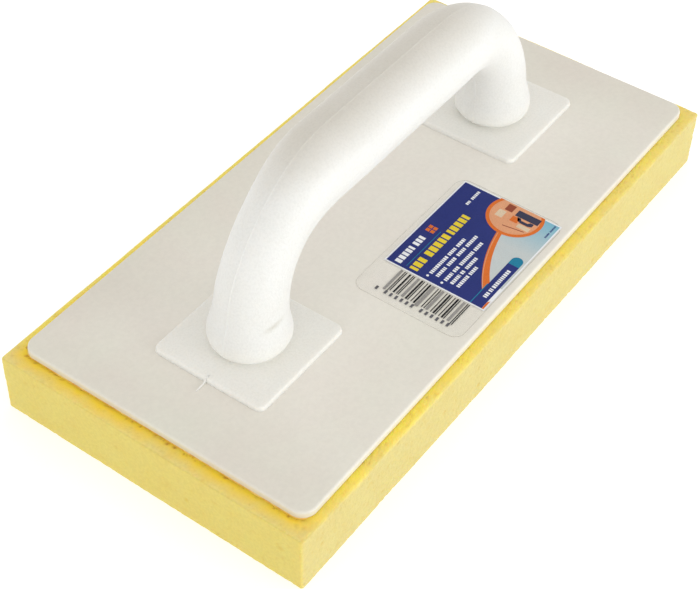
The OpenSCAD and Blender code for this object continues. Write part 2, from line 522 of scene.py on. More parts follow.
FOAM_EDGE_R = 0.8
FOAM_LOWER_EDGE_R = 0.4
FOAM_SWELL = 0.12
FOAM_LIFT = 0.02
FOAM_TUCK = 2.0
FOAM_COUNTS = (415, 199, 9)
FOAM_SIDE_ROWS = 39
# Rows across the foam's margin, as shares of the way out, close together along the plate's edge.
FOAM_MARGIN = (0, 0.12, 0.19, 0.23, 0.27, 0.31, 0.35, 0.39, 0.44, 0.5, 0.57, 0.65, 0.74, 0.83, 0.92)
FOAM_UNDER_STEP = 1.6
FOAM_UNDER_INSET = 4.5
CELL_SIZE = 1.7
CELL_DEPTH = 0.16
# The strip of foam along the near end where the pores and a band along the plate's edge are darkened,
# partly real browning and partly painted shade, and how far the adhesive soak with its painted light and
# shade reaches.
BROWN_STRIP = 12
GLUE_AND_SHADE_REACH = 6.5
GLUE_AND_SHADE_FADE = 0.0018


def foam_rows():
    """The foam's skin from under the plate's edge, out over the top, down the side and in underneath."""
    under_edge = outline(*(PLATE_HALF - FOAM_TUCK), PLATE_CORNER_R - FOAM_TUCK, FOAM_COUNTS) + PLATE_MID
    top_edge = outline(*(FOAM_HALF - FOAM_EDGE_R), FOAM_CORNER_R - FOAM_EDGE_R, FOAM_COUNTS)
    rows = [ring_at(under_edge * (1 - share) + top_edge * share, FOAM_TOP) for share in FOAM_MARGIN]
    side = np.linspace(FOAM_TOP - FOAM_EDGE_R, FOAM_LOWER_EDGE_R, FOAM_SIDE_ROWS)[1:-1]
    section = edge_arc(FOAM_EDGE_R, FOAM_TOP, (90, 67, 45, 22, 0)) + [(0.0, z) for z in side]
    section += edge_arc(FOAM_LOWER_EDGE_R, 0, (0, 45, 90), -1)
    rows += lofted(FOAM_HALF, FOAM_CORNER_R, FOAM_COUNTS, section)
    edge = rows[-1][:, :2]
    inner = outline(*(FOAM_HALF - FOAM_UNDER_INSET), 0.5, FOAM_COUNTS)
    rows += [ring_at(edge * (1 - share) + inner * share, 0) for share in (0.22, 0.46, 0.72, 1.0)]
    return np.array(rows)


def cell_relief(points):
    """How deep the skin dips at each point: a dish in each foam cell, deeper in some than others."""
    depth = np.empty(len(points))
    for i, p in enumerate(points.tolist()):
        distances, middles = noise.voronoi(Vector(p) / CELL_SIZE)
        chance = noise.cell(middles[0] * 7.3)
        depth[i] = CELL_DEPTH * (0.4 + 0.6 * abs(chance)) * max(0.0, 1 - (distances[0] / 0.62) ** 2)
    return depth


def dig_pores(points, count, radii, depth_share, where):
    """Bigger pores: a bowl at each of some random places. Returns each point's depth and a darkness that
    paints shade into the hollow.
    """
    depth, dark = np.zeros(len(points)), np.zeros(len(points))
    tree = kdtree.KDTree(len(points))
    for i, p in enumerate(points.tolist()):
        tree.insert(p, i)
    tree.balance()
    chosen = rng.choice(np.flatnonzero(where), count, replace=False)
    low, high = radii
    for i in chosen:
        radius = low + (high - low) * rng.random() ** 3
        bowl = radius * depth_share * rng.uniform(0.6, 1.2)
        for _, j, distance in tree.find_range(points[i].tolist(), radius * 1.25):
            shape = max(0.0, 1 - (distance / radius / 1.25) ** 2)
            depth[j] = max(depth[j], bowl * shape)
            dark[j] = max(dark[j], min(1.0, radius / high + 0.25) * shape)
    return depth, dark


def sponge(material):
    """The foam block, with real pores on every face that shows."""
    rows = foam_rows()
    count, columns = rows.shape[:2]
    skin = rows.reshape(-1, 3)
    outward = -strip_normals(rows).reshape(-1, 3)
    loop = rows[-1][:, :2]
    inner = scattered(*(FOAM_HALF - FOAM_UNDER_INSET - 0.7), FOAM_UNDER_STEP, 0.22)
    flat, under_faces = fill([loop], inner)
    under = np.column_stack((flat[columns:], np.zeros(len(inner))))
    points = np.vstack((skin, under))
    outward = np.vstack((outward, np.tile((0.0, 0.0, -1.0), (len(under), 1))))
    hidden = np.zeros(len(points))
    hidden[: 2 * columns] = 1
    hidden[2 * columns: 3 * columns] = 0.5

    depth = cell_relief(points)
    shows = hidden == 0
    small, small_dark = dig_pores(points, 3200, (0.4, 0.8), 0.35, shows)
    large, large_dark = dig_pores(points, 90, (0.6, 1.2), 0.45, shows)
    from_plate = plate_distance(points)
    on_top = points[:, 2] > FOAM_TOP - 1
    # Painted shade along the plate's edge at the near end: its pores and a band beside the edge darkened
    # brown, partly real browning.
    rim_band = shows & on_top & (from_plate > -0.2) & (from_plate < 1.3)
    rim_band &= points[:, 0] < -FOAM_HALF[0] + BROWN_STRIP
    rim, rim_dark = dig_pores(points, 70, (0.3, 0.7), 0.45, rim_band)
    near = np.clip(1.3 - np.abs(from_plate - 0.2) / 1.2, 0, 1) * (points[:, 0] < -FOAM_HALF[0] + 9)
    browning_and_shade = 0.36 * near * on_top * np.clip(0.6 + 1.4 * perlin(points, 9, 2.0), 0, 1)
    wave = 0.14 * perlin(points, 38) + 0.08 * perlin(points, 9, 5.0) + 0.04 * perlin(points, 2.6, 9.0)
    edge = np.abs(points[:, 2] - FOAM_TOP + 0.4) < 1.0
    edge &= np.max(np.abs(points[:, :2]) / FOAM_HALF, axis=1) > 0.99
    move = FOAM_SWELL + wave - (depth + np.maximum(small, large)) * np.where(edge, 0.45, 1.0) - rim
    move *= 1 - hidden
    facing_up = outward[:, 2] > 0.05
    move[facing_up] = np.minimum(move, 0.05 + 0.4 * (1 - outward[:, 2]))[facing_up]
    points = points + outward * move[:, None]
    points[:, 2] = np.maximum(points[:, 2], FOAM_LIFT)

    cap_faces = fill([rows[0][:, :2]], NO_POINTS)[1]
    skin_faces = strip_faces(count, columns)[:, ::-1].tolist()
    shift = len(skin) - columns
    skin_faces += [[shift + i for i in f[::-1]] for f in under_faces]
    piece = mesh_piece("sponge_foam", points, skin_faces + cap_faces, [material], "sponge_block")
    # Painted shade in the pores' hollows.
    set_attribute(piece, "pore_shade", np.maximum(small_dark * 0.25, large_dark * 0.4))
    set_attribute(piece, "deep", np.clip((-points[:, 0] - FOAM_HALF[0] + 14) / 8, 0, 1))
    # Brown specks: painted shade in the pores and band along the plate's edge, partly real browning.
    set_attribute(piece, "speck", np.maximum(rim_dark * 0.85, browning_and_shade))
    # Painted shade on the end faces and painted light on the top faces, from each face's direction.
    set_attribute(piece, "end", np.abs(outward[:, 0]) ** 2)
    set_attribute(piece, "top", np.clip(outward[:, 2] * 4 - 3, 0, 1))
    # Adhesive soak and painted light and shade along the plate's edge.
    set_attribute(piece, "glue_and_shade", glue_and_shade(points))
    return piece


def plate_distance(points):
    """How far outside the plate's outline each point is, seen from above."""
    from_middle = rotate_flat(points[:, :2] - PLATE_MID, -PLATE_TURN)
    beyond = np.maximum(np.abs(from_middle) - (PLATE_HALF - PLATE_CORNER_R), 0)
    return np.hypot(beyond[:, 0], beyond[:, 1]) - PLATE_CORNER_R


def glue_and_shade(points):
    """How far adhesive has soaked into the foam, with painted light and shade along the plate's edge: most
    along that edge, and unevenly.
    """
    along = np.maximum(plate_distance(points), 0) + 1.15 * (FOAM_TOP - points[:, 2])
    uneven = 1.5 * perlin(points, 11, 3.0) + 1.2 * perlin(points, 3.5, 7.0)
    soak_and_shade = np.clip(1.0 - (along + uneven) / GLUE_AND_SHADE_REACH, 0, 1) ** 1.3
    return np.clip(soak_and_shade * (0.93 - GLUE_AND_SHADE_FADE * points[:, 0]), 0, 1)


# ---- plate

PLATE_COUNTS = (68, 32, 14)
PLATE_EDGE_R = 1.0
HOLE_R = 2.2
HOLE_COUNT = 32
NO_POINTS = np.empty((0, 2))


def hole_walls(points, faces, rings):
    """Adds each screw hole's wall, as (radius, height) rings going up, to lists of point blocks and faces.
    Returns the number of each wall's first point."""
    starts = []
    for centre in FOOT_CENTRES:
        starts.append(sum(map(len, points)))
        points.append(np.vstack([ring_at(circle(centre, radius, HOLE_COUNT), z) for radius, z in rings]))
        faces += strip_faces(len(rings), HOLE_COUNT, starts[-1])[:, ::-1].tolist()
    return starts


def holed_cap(outer, first, walls, ring, radius, upper, extra=NO_POINTS, extra_first=0):
    """Faces that fill an outline, whose first point has that number, round the screw holes. Ring says
    which ring of each hole's wall they meet."""
    loops = [outer] + [circle(c, radius, HOLE_COUNT) for c in FOOT_CENTRES]
    made = fill(loops, extra, [(c, radius) for c in FOOT_CENTRES])[1]
    numbers = list(range(first, first + len(outer)))
    for wall in walls:
        numbers += range(wall + ring * HOLE_COUNT, wall + (ring + 1) * HOLE_COUNT)
    numbers += range(extra_first, extra_first + len(extra))
    return [[numbers[i] for i in (f if upper else f[::-1])] for f in made]


def plate_relief(points):
    """How far the plate's top face lies off flat, always a little below."""
    flat = np.column_stack((points[:, :2], np.zeros(len(points))))
    return 0.04 * perlin(flat, 45, 2.0) + 0.015 * perlin(flat, 14, 4.0) - 0.055


def plate(material):
    """The plate: softly rounded top edge, a faint wave in its top face and two countersunk holes."""
    section = [(0.12, PLATE_BOTTOM), (0.03, PLATE_BOTTOM + 0.06), (0, PLATE_BOTTOM + 0.25)]
    section += edge_arc(PLATE_EDGE_R, PLATE_TOP, np.linspace(0, 90, 7))
    rows = np.array(lofted(PLATE_HALF, PLATE_CORNER_R, PLATE_COUNTS, section))
    columns = rows.shape[1]
    points, faces = [rows.reshape(-1, 3)], strip_faces(len(rows), columns).tolist()
    sunk = PLATE_BOTTOM + COUNTERSINK_R - HOLE_R
    wall = ((COUNTERSINK_R, PLATE_BOTTOM), (HOLE_R, sunk), (HOLE_R, PLATE_TOP))
    walls = hole_walls(points, faces, wall)
    for row, ring, level in ((len(rows) - 1, 2, PLATE_TOP), (0, 0, PLATE_BOTTOM)):
        radius = wall[ring][0]
        extra = scattered(*(PLATE_HALF - 3.0), 4.0, 0.1)
        for centre in FOOT_CENTRES:
            extra = extra[np.hypot(*(extra - np.array(centre)).T) > radius + 1.5]
        extra = inside_corners(extra, PLATE_HALF, PLATE_CORNER_R, 2.5)
        lifted = ring_at(extra, level)
        if level == PLATE_TOP:
            lifted[:, 2] += plate_relief(lifted)
        faces += holed_cap(rows[row][:, :2], row * columns, walls, ring, radius, level == PLATE_TOP,
                           extra, sum(map(len, points)))
        points.append(lifted)
    points = np.vstack(points)
    piece = mesh_piece("plate_sheet", stuck_on(points), faces, [material], "backing_plate")
    along, across = (points[:, :2] / PLATE_HALF).T
    # Painted shade towards the ends and sides, leaving the middle lighter.
    end_and_side_shade = np.maximum(np.clip(np.abs(along) * 3 - 1.8, 0, 1), np.clip(across * 1.4 - 0.4, 0, 1))
    end_and_side_shade = np.maximum(end_and_side_shade, 0.6 * np.clip(-across * 2.5 - 0.9, 0, 1))
    set_attribute(piece, "end_and_side_shade", end_and_side_shade)
    return piece


# ---- adhesive

GLUE_COUNTS = (300, 144, 16)
GLUE_TUCK = 1.6


def adhesive(material):
    """The adhesive layer, whose edge has crept unevenly past the plate's."""
    loop = outline(*PLATE_HALF, PLATE_CORNER_R, GLUE_COUNTS)
    columns = len(loop)
    out = np.roll(loop, -1, axis=0) - np.roll(loop, 1, axis=0)
    out = np.column_stack((out[:, 1], -out[:, 0]))
    out /= np.linalg.norm(out, axis=1)[:, None]
    flat = ring_at(loop, 0.0)
    creep = 0.22 + 0.30 * perlin(flat, 13, 1.0) + 0.25 * perlin(flat, 3.2, 6.0)
    creep = np.clip(creep, -0.15, 0.75)
    # The bead creeps out only along the near end; there its amber is partly real adhesive and partly a
    # painted shade line under the plate's edge.
    creep = np.where(loop[:, 0] < -PLATE_HALF[0] + 2.5, creep, np.minimum(creep - 0.5, -0.3))[:, None]
    tuck = outline(*(PLATE_HALF - GLUE_TUCK), PLATE_CORNER_R - GLUE_TUCK, GLUE_COUNTS)
    rows = np.array([ring_at(tuck, FOAM_TOP), ring_at(loop + out * creep * 0.9, FOAM_TOP - 0.02),
                     ring_at(loop + out * creep, FOAM_TOP + 0.10),
                     ring_at(loop + out * creep * 0.7, FOAM_TOP + 0.24),
                     ring_at(loop - out * 0.4, PLATE_BOTTOM + 0.05), ring_at(tuck, PLATE_BOTTOM)])
    points, faces = [rows.reshape(-1, 3)], strip_faces(len(rows), columns).tolist()
    walls = hole_walls(points, faces, ((COUNTERSINK_R, FOAM_TOP), (COUNTERSINK_R, PLATE_BOTTOM)))
    for row, ring in ((0, 0), (len(rows) - 1, 1)):
        faces += holed_cap(tuck, row * columns, walls, ring, COUNTERSINK_R, ring == 1)
    return mesh_piece("adhesive_layer", stuck_on(np.vstack(points)), faces, [material],
                      "adhesive_film")


# ---- handle

PAD_TOP = PLATE_TOP + 1.8
PAD_CORNER_R = 3.0
PAD_EDGE_R = 0.7
PAD_DRAFT = 0.25
BEND_R = 43.0
LEG_LEAN = math.radians(5.8)
BORE_DEPTH = 20.0
HANDLE_STEP = 1.1
PARTING_RIDGE = 0.16
FILLET_OUT = 0.35
RIDGE_STREAK = 0.28
RIDGE_STREAK_AT = (29.0, 5.5)
# A shallow nick in the near foot, its hollow darkened with painted shade.
NICK_AT = (-FOOT_X - 2.3, -13.6, PLATE_TOP + 17.7)
NICK_SIZE = (4.2, 3.0, 1.0)
NICK_SLANT = 0.9
NICK_PUSH = (0.05, 0.26, 0)
# A thin blade of flash at the near pad's outer edge: how far in from the edge, and how high, at each step.
FLASH = ((-5.6, 0.15), (-4.4, 0.45), (-1.5, 0.65), (-0.3, 1.3), (0.2, 2.05), (1.2, 2.0), (2.0, 1.7))
FLASH_HALF_W = 0.17
# Radius of the handle at distances along its centre line, up from the pad and on to the grip's middle.
RADIUS_AT = ((0, 13.1), (0.6, 13.75), (1.2, 14.4), (2, 15.0), (3, 15.5), (4.5, 15.85), (6, 15.85),
             (8, 15.5), (10, 15.05), (14, 14.1), (18, 13.7), (22, 13.55), (30, 13.1), (40, 12.8),
             (50, 12.9), (57, 13.3), (64, 13.9), (72, 14.6), (80, 15.0), (95, GRIP_R), (120, GRIP_R))


def handle_angles():
    """Angles round the handle: dense at the pad's corners, and close on either side of the parting line."""
    corners = outline(PAD_HALF, PAD_HALF, PAD_CORNER_R, (36, 36, 8))
    angles = np.arctan2(corners[:, 1], corners[:, 0])
    fine = np.radians((-2.0, -0.8, 0.8, 2.0))
    angles = np.concatenate((angles, fine, fine + math.pi, (0.0, math.pi)))
    angles = np.mod(angles, 2 * math.pi)
    return np.unique(angles.round(5))


def square_reach(angles, half, corner_r):
    """How far a rounded square's edge is from its middle at each angle."""
    c, s = np.abs(np.cos(angles)), np.abs(np.sin(angles))
    straight = half / np.maximum(c, s)
    middle = half - corner_r
    along = middle * (c + s)
    bend = along + np.sqrt(np.maximum(along ** 2 - 2 * middle ** 2 + corner_r ** 2, 0))
    in_corner = straight * np.minimum(c, s) > middle
    return np.where(in_corner, bend, straight)


def centre_line():
    """Points up one leg, round its bend and along the grip to its middle: distances, X, Z and leans.
    X is measured from the grip's middle, and a lean is the centre line's angle from upright."""
    bend_z = GRIP_Z - BEND_R
    leg = (bend_z + BEND_R * math.sin(LEG_LEAN) - PAD_TOP) / math.cos(LEG_LEAN)
    bend_x = FOOT_X - BEND_R * math.cos(LEG_LEAN) - leg * math.sin(LEG_LEAN)
    arc = BEND_R * (math.pi / 2 - LEG_LEAN)
    total = leg + arc + bend_x
    at = np.linspace(0, total, round(total / HANDLE_STEP) + 1)
    up_leg = np.minimum(at, leg)
    angle = LEG_LEAN + np.clip(at - leg, 0, arc) / BEND_R
    past = np.maximum(at - leg - arc, 0)
    x = FOOT_X - up_leg * math.sin(LEG_LEAN) - BEND_R * (math.cos(LEG_LEAN) - np.cos(angle)) - past
    z = PAD_TOP + up_leg * math.cos(LEG_LEAN) + BEND_R * (np.sin(angle) - math.sin(LEG_LEAN))
    return at, x, z, angle


def pad_rows(angles):
    """Rings from the closed end of the screw's bore down, under the pad, up its edge and in to the foot."""
    reach = square_reach(angles, PAD_HALF, PAD_CORNER_R)
    rings = [(0.6, PLATE_TOP + BORE_DEPTH)]
    rings += [(SCREW_R, PLATE_TOP + h) for h in (BORE_DEPTH, 12.0, 5.0, 0.0)]
    rings += [(SCREW_R + (reach - SCREW_R) * share, PLATE_TOP) for share in (0.3, 0.65, 0.96)]
    rings += [(reach + PAD_DRAFT, PLATE_TOP - h) for h in (0.1, 0.09)]
    rings += [(reach + PAD_DRAFT * 0.6, PLATE_TOP + 0.3)]
    rings += [(reach - inset, z) for inset, z in edge_arc(PAD_EDGE_R, PAD_TOP, (0, 30, 60, 90))]
    foot = RADIUS_AT[0][1]
    edge = reach - PAD_EDGE_R
    for share in (0.12, 0.3, 0.5, 0.7, 0.85, 0.95):
        rings.append((edge + (foot + FILLET_OUT - edge) * share, PAD_TOP))
    for rise, out in ((0.0, FILLET_OUT), (0.06, 0.14), (0.2, 0.18), (0.5, 0.52)):
        rings.append((foot + out, PAD_TOP + rise))
    return [ring_at(polar(radius, angles) + np.array((FOOT_X, 0)), z) for radius, z in rings]


def handle_half(angles):
    """One half of the handle on the +X side, from its bore to the middle of the grip."""
    rows = pad_rows(angles)
    at, xs, zs, leans = centre_line()
    radii = hermite(*zip(*RADIUS_AT), at)
    ridge_at = np.abs(np.sin(angles)) < math.sin(math.radians(1.2))
    for distance, x, z, angle, radius in zip(at, xs, zs, leans, radii):
        if distance < 0.9:
            continue
        settle = min(distance / 14.0, 1.0)
        tilt = angle if distance > 14.0 else LEG_LEAN * settle * settle * (3 - 2 * settle)
        from_streak = (distance - RIDGE_STREAK_AT[0]) / RIDGE_STREAK_AT[1]
        ridge = PARTING_RIDGE + RIDGE_STREAK * math.exp(-from_streak ** 2)
        ring_r = radius + ridge * ridge_at
        across = ring_r * np.cos(angles)
        rows.append(np.column_stack((x + across * math.cos(tilt), ring_r * np.sin(angles),
                                     z + across * math.sin(tilt))))
    return np.array(rows)


def handle(material):
    """The whole handle as one closed skin: bore, pad, foot, leg, bend and grip, and the same again."""
    angles = handle_angles()
    half = handle_half(angles)
    mirrored = half[:-1][::-1].copy()
    mirrored[:, :, 0] *= -1
    rows = np.concatenate((half, mirrored))
    count, columns = rows.shape[:2]
    points = rows.reshape(-1, 3)

    from_nick = (points - np.array(NICK_AT)) / np.array(NICK_SIZE)
    from_nick[:, 2] -= NICK_SLANT * from_nick[:, 0]
    nick = np.exp(-(from_nick ** 2).sum(axis=1))
    points += nick[:, None] * np.array(NICK_PUSH)
    outward = strip_normals(rows).reshape(-1, 3)
    body = points[:, 2] > PAD_TOP + 0.6
    waver = 0.07 * perlin(points, 22) + 0.03 * perlin(points, 6, 3.0)
    points = points + outward * (body * waver)[:, None]
    faces = strip_faces(count, columns).tolist()
    faces += [list(range(columns))[::-1], list(range((count - 1) * columns, count * columns))]
    skin = len(faces)
    blade, blade_faces = flash_blade(len(points))
    points = np.vstack((points, blade))
    piece = mesh_piece("handle_moulding", stuck_on(points), faces + blade_faces, [material],
                       "handle")
    for polygon in piece.data.polygons[skin:]:
        polygon.use_smooth = False
    # Painted shade on the grip's top and +Y side.
    over = (points[:, 2] - GRIP_Z) / GRIP_R
    top_side = np.clip((over - 0.1 + 0.35 * points[:, 1] / GRIP_R) / 0.9, 0, 1)
    set_attribute(piece, "grip_top_shade", np.where(points[:, 2] > GRIP_Z - GRIP_R, top_side, 0))
    # Painted light on the pads and the foot's lowest part.
    above_pad = points[:, 2] - PAD_TOP
    set_attribute(piece, "pad", np.clip(1 - (above_pad - 1) / 9, 0, 1))
    # Painted shade in the nick's hollow.
    set_attribute(piece, "nick_shade", np.append(nick, np.zeros(len(blade))))
    return piece


def flash_blade(first):
    """The thin blade of moulding flash on the near pad's outer edge: its points and its faces."""
    edge = -FOOT_X - PAD_HALF
    rings = []
    for inward, rise in FLASH:
        x = edge + inward
        sides = ((-1, -0.1), (1, -0.1), (1, rise), (-1, rise))
        rings.append([(x, side * FLASH_HALF_W, PLATE_TOP + z) for side, z in sides])
    faces = strip_faces(len(rings), 4, first).tolist()
    last = first + 4 * (len(rings) - 1)
    faces += [[first + i for i in range(4)][::-1], [last + i for i in range(4)]]
    return np.array(rings).reshape(-1, 3), faces


# ---- screws

SCREW_HEAD_R = 4.0
SCREW_L = 22.0
THREAD_PITCH = 1.4
THREAD_CORE_R = 1.5
RECESS_L = 4.4
RECESS_W = 0.9
RECESS_DEPTH = 1.2


def screws(material):
    """Two self-tapping screws with real threads and cross recesses in their heads."""
    columns = 40
    angles = np.arange(columns) * 2 * math.pi / columns
    head_h = SCREW_HEAD_R - SCREW_R
    heights = np.arange(head_h + 1.0, SCREW_L - 0.3, THREAD_PITCH / 7)
    rows = []
    c, s = np.abs(np.cos(angles)), np.abs(np.sin(angles))
    cross = np.minimum(RECESS_W / 2 / np.minimum(c, s).clip(1e-3), RECESS_L / 2 / np.maximum(c, s))
    for share, z in ((0.3, RECESS_DEPTH), (0.97, RECESS_DEPTH), (1.0, 0.0)):
        rows.append(ring_at(polar(np.maximum(cross * share, 0.2), angles), z))
    for radius, z in ((3.0, 0.0), (SCREW_HEAD_R - 0.1, 0.0), (SCREW_HEAD_R, 0.12), (SCREW_R, head_h),
                      (SCREW_R * 0.92, head_h + 0.5)):
        rows.append(ring_at(polar(radius, angles), z))
    for z in heights:
        turn = (z / THREAD_PITCH - angles / (2 * math.pi)) % 1.0
        crest = np.maximum(0, 1 - np.abs(turn - 0.5) / 0.26)
        taper = min(1.0, (SCREW_L - z) / 3.5)
        radius = (THREAD_CORE_R + (SCREW_R - 0.02 - THREAD_CORE_R) * crest) * taper
        rows.append(ring_at(polar(radius, angles), z))
    one = np.array(rows)
    count = len(one)
    points, faces = [], []
    for x, y in FOOT_CENTRES:
        first = len(points) * count * columns
        points.append(one.reshape(-1, 3) + np.array((x, y, PLATE_BOTTOM)))
        faces += strip_faces(count, columns, first).tolist()
        faces += [[first + i for i in range(columns)][::-1],
                  [first + (count - 1) * columns + i for i in range(columns)]]
    return mesh_piece("screw_pair", stuck_on(np.vstack(points)), faces, [material],
                      "handle_screws")


# ---- label

FILM_CORNER_R = 5.0
FILM_COUNTS = (52, 32, 10)
PANEL_L = 57.0
INK_T = 0.0165


def film(material, rim_material):
    """The clear film: a thin sheet with a rounded rim and a faint ripple."""
    middle = (FILM_LO + FILM_HI) / 2
    half = ((FILM_HI - FILM_LO) / 2)[:2]
    low, high = FILM_LO[2], FILM_HI[2]
    section = ((0.0, low), (0.0, high - 0.06), (0.05, high - 0.01), (0.2, high))
    rows = np.array(lofted(half, FILM_CORNER_R, FILM_COUNTS, section))
    columns = rows.shape[1]
    inner = inside_corners(scattered(*(half - 1.5), 1.8, 0.1), half, FILM_CORNER_R, 1.3)
    _, top_faces = fill([rows[-1][:, :2]], inner)
    _, under_faces = fill([rows[0][:, :2]], NO_POINTS)
    lifted = ring_at(inner, high)
    lifted[:, 2] -= 0.035 * np.abs(perlin(lifted, 7, 8.0))
    strip = rows.reshape(-1, 3)
    faces = strip_faces(len(rows), columns).tolist()
    shift = (len(rows) - 1) * columns
    faces += [[i + shift for i in f] for f in top_faces]
    faces += [f[::-1] for f in under_faces]
    points = np.vstack((strip, lifted)) + np.array((middle[0], middle[1], 0))
    piece = mesh_piece("label_clear_film", points, faces, [material, rim_material],
                       "label_film")
    rim = (len(rows) - 1) * columns
    piece.data.polygons.foreach_set("material_index", [1] * rim + [0] * (len(faces) - rim))
    return piece


class Artwork:
    """The label's printed shapes: each a thin closed solid of one ink, measured from the panel's corner."""

    def __init__(self, inks):
        self.inks = inks
        self.points = []
        self.faces = []
        self.ink_of = []
        self.corner = np.array((PRINT_HI[0] - PANEL_L, PRINT_LO[1]))
        self.size = (PANEL_L, PRINT_HI[1] - PRINT_LO[1])

    def shape(self, outline_xy, ink, layer):
        """Prints a flat outline in one ink, on the given layer."""
        low = PRINT_LO[2] + INK_T * layer
        ring = np.array(outline_xy, float) + self.corner
        first = len(self.points)
        count = len(ring)
        for z in (low, low + INK_T):
            self.points += ring_at(ring, z).tolist()
        made = strip_faces(2, count, first).tolist()
        made += [[first + i for i in range(count)][::-1], [first + count + i for i in range(count)]]
        self.faces += made
        self.ink_of += [list(self.inks).index(ink)] * len(made)

    def bar(self, x0, y0, x1, y1, ink, layer, radius=0.0):
        """Prints a rectangle, with round corners if it has a radius."""
        if radius == 0:
            ring = [(x0, y0), (x1, y0), (x1, y1), (x0, y1)]
        else:
            ring = outline((x1 - x0) / 2, (y1 - y0) / 2, radius, (1, 1, 5)) + ((x0 + x1) / 2, (y0 + y1) / 2)
        self.shape(ring, ink, layer)

    def words(self, x, y, lengths, height, ink, layer, gap=1.0):
        """A line of plain blocks that stands for words. None of them is a letter."""
        for length in lengths:
            place = 0.0
            while place < length - 0.2 * height:
                wide = min(height * rng.uniform(0.34, 0.56), length - place)
                self.bar(x + place, y, x + place + wide, y + height * 0.84, ink, layer)
                place += wide + height * 0.17
            x += length + gap

    def clipped(self, outline_xy, ink, layer):
        """Prints an outline cut off at the panel's edges."""
        ring = [np.array(p, float) for p in outline_xy]
        for axis, limit, side in ((0, 0.0, 1), (0, self.size[0], -1), (1, 0.0, 1), (1, self.size[1], -1)):
            kept = []
            for here, after in zip(ring, ring[1:] + ring[:1]):
                a, b = side * (here[axis] - limit), side * (after[axis] - limit)
                if a >= 0:
                    kept.append(here)
                if a * b < 0:
                    kept.append(here + (after - here) * a / (a - b))
            ring = kept
        self.shape(ring, ink, layer)


def curve(start, pull, end, count=18):
    """Points on a quadratic curve between two ends, drawn towards a third point."""
    t = np.linspace(0, 1, count)[:, None]
    return np.array(start) * (1 - t) ** 2 + 2 * np.array(pull) * t * (1 - t) + np.array(end) * t ** 2


def pill_end(centre, radius):
    """Half a disc on the right of a straight edge."""
    return np.array(centre) + polar(radius, np.linspace(-math.pi / 2, math.pi / 2, 16))


def tile_picture(art, centre, radius):
    """A round picture in an orange ring: a float standing on a few wall tiles."""
    art.clipped(circle(centre, radius, 64), "orange", 3)
    art.clipped(circle(centre, radius - 1.5, 60), "peach", 4)
    for x, y, wide, tall, ink in ((52.2, 20.4, 4.0, 3.4, "brown"), (47.9, 15.6, 3.2, 3.4, "orange"),
                                  (47.2, 22.2, 4.2, 3.2, "cream"), (46.2, 9.4, 2.2, 5.4, "cream")):
        art.bar(x, y, x + wide, y + tall, ink, 5)
    art.clipped([(51.6, 8.2), (55.2, 8.2), (55.2, 18.6), (51.6, 18.6)], "slate", 5)
    art.shape([(49.6, 9.6), (51.4, 9.6), (51.4, 11.2), (50.4, 11.9), (50.4, 14.9), (51.4, 15.6),
               (51.4, 17.2), (49.6, 16.2), (48.9, 14.6), (48.9, 11.2)], "slate", 5)
    art.shape([(43.7, 19.6), (45.2, 10.6), (45.6, 10.7), (44.1, 19.7)], "brown", 5)


def tile_mark(art, centre, size):
    """Four little tiles in a square, where the original has a mark of its own."""
    half, gap = size / 2, size * 0.06
    for x in (-1, 1):
        for y in (-1, 1):
            a, b = sorted((x * gap, x * half))
            c, d = sorted((y * gap, y * half))
            art.bar(centre[0] + a, centre[1] + c, centre[0] + b, centre[1] + d, "orange", 2)


BAR_GAP = 0.6
BAR_SHORTER = 0.8
BAR_WIDTHS = (1, 1, 3, 1, 2, 1, 1, 2, 1, 3, 1, 1, 4, 2, 1, 1, 2, 3, 1, 1, 2, 1, 1, 3)


def bars(art):
    """A column of printed bars in uneven widths, with a row of small blocks along their ends."""
    left, right = PRINT_LO[0] - art.corner[0], -BAR_GAP
    low, high = 5.7, 37.1
    count = len(BAR_WIDTHS)
    gaps = [1.0 + 0.9 * ((i * 7) % 3) for i in range(count)]
    unit = (high - low) / (sum(BAR_WIDTHS) + sum(gaps[:-1]))
    y = low
    for i, (width, gap) in enumerate(zip(BAR_WIDTHS, gaps)):
        long = i in (0, 1, count // 2, count - 2, count - 1)
        start = left if long else left + BAR_SHORTER
        art.bar(start, y, right, y + width * unit, "grey" if width > 2 else "black", 0)
        y += (width + gap) * unit
    for i in range(13):
        y = 39.6 - 2.4 * i - (1.7 if i > 0 else 0) - (1.7 if i > 6 else 0)
        art.bar(left - 1.8, y - 1.0, left + 0.1, y, "dim", 0)


